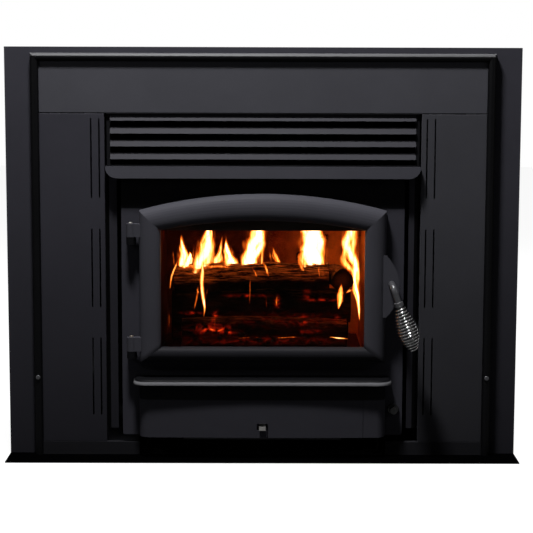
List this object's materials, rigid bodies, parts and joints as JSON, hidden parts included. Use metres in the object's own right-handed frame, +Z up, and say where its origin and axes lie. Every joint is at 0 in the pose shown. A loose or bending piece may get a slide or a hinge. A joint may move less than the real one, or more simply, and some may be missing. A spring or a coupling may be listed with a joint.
{
  "type": "zero clearance wood fireplace",
  "caption": "Built-in wood fireplace: arched glass door with a coil-grip latch, ash shelf, louvred steel surround, brick-lined firebox, blower and casing with a chimney outlet.",
  "frame": {"origin": "on the floor, at mid width, in the plane of the finished wall behind the surround", "axes": "+X to the right seen from the room, +Y into the wall, +Z up"},
  "size_m": [1.016, 0.6443, 0.815],
  "materials": {
    "black_paint": "satin charcoal stove paint",
    "cast_door": "painted casting with a fine grain",
    "ceramic_glass": "clear ceramic glass",
    "gasket_fibre": "braided glass fibre",
    "galvanised_sheet": "galvanised sheet",
    "stainless_steel": "stainless steel, heat tinted",
    "boiler_plate": "black steel plate",
    "firebrick": "rough firebrick",
    "fibre_board": "matt fibre board",
    "bright_nickel": "bright nickel plate",
    "blower_metal": "dull grey",
    "knob_plastic": "glossy black"
  },
  "bodies": {
    "unit": {"wall_flange": "black_paint", "trim_top": "black_paint", "trim_left": "black_paint", "trim_right": "black_paint", "top_panel": "black_paint", "side_panel_left": "black_paint", "side_panel_right": "black_paint", "louver_frame": "black_paint", "louver_slats": "black_paint", "visor": "black_paint", "jambs": "black_paint", "bottom_rails": "black_paint", "spark_strip": "black_paint", "front_plate": "black_paint", "lower_cover": "black_paint", "cover_end": "black_paint", "hinge_lugs": "black_paint", "latch_keeper": "black_paint", "ash_shelf": "cast_door", "cabinet_floor": "galvanised_sheet", "cabinet_sides": "galvanised_sheet", "cabinet_back": "galvanised_sheet", "cabinet_top": "galvanised_sheet", "heat_shields": "galvanised_sheet", "top_standoffs": "galvanised_sheet", "hold_down_tabs": "galvanised_sheet", "chimney_anchor": "galvanised_sheet", "outside_air_collar": "galvanised_sheet", "flue_pipe": "stainless_steel", "air_tubes": "stainless_steel", "air_channels": "stainless_steel", "air_doghouse": "stainless_steel", "hinge_pins": "stainless_steel", "firebox_sides": "boiler_plate", "firebox_back": "boiler_plate", "firebox_floor": "boiler_plate", "firebox_top": "boiler_plate", "stove_base": "boiler_plate", "slide_guides": "boiler_plate", "firebricks_floor": "firebrick", "firebricks_sides": "firebrick", "firebricks_back": "firebrick", "baffle_board": "fibre_board", "trim_screws": "bright_nickel", "blower_base": "blower_metal", "blower_housings": "blower_metal", "blower_motor": "blower_metal", "speed_control": "knob_plastic"},
    "door": {"door_frame": "cast_door", "door_glass": "ceramic_glass", "glass_gasket": "gasket_fibre", "glass_retainer": "stainless_steel", "door_gasket": "gasket_fibre"},
    "latch": {"handle_rod": "black_paint", "handle_coil": "bright_nickel", "latch_pawl": "black_paint"},
    "air_control": {"air_slide": "bright_nickel"},
    "fan_knob": {"speed_knob": "knob_plastic"},
    "fan_rotor": {"blower_rotor": "blower_metal"}
  },
  "joints": [
    {"name": "door_hinge", "type": "hinge", "parent": "unit", "child": "door", "pos_m": [-0.26, -0.034, 0.335], "axis": [0, 0, -1], "range_deg": [0, 120]},
    {"name": "latch_turn", "type": "hinge", "parent": "door", "child": "latch", "pos_m": [0.254, -0.04, 0.353], "axis": [0, -1, 0], "range_deg": [-20, 70]},
    {"name": "air_slide", "type": "slide", "parent": "unit", "child": "air_control", "axis": [0, -1, 0], "range_m": [0, 0.025]},
    {"name": "knob_turn", "type": "hinge", "parent": "unit", "child": "fan_knob", "pos_m": [0.262, -0.02, 0.096], "axis": [0, 1, 0], "range_deg": [0, 270]},
    {"name": "blower_spin", "type": "hinge", "parent": "unit", "child": "fan_rotor", "pos_m": [0, 0.2, 0.055], "axis": [1, 0, 0], "continuous": true}
  ]
}
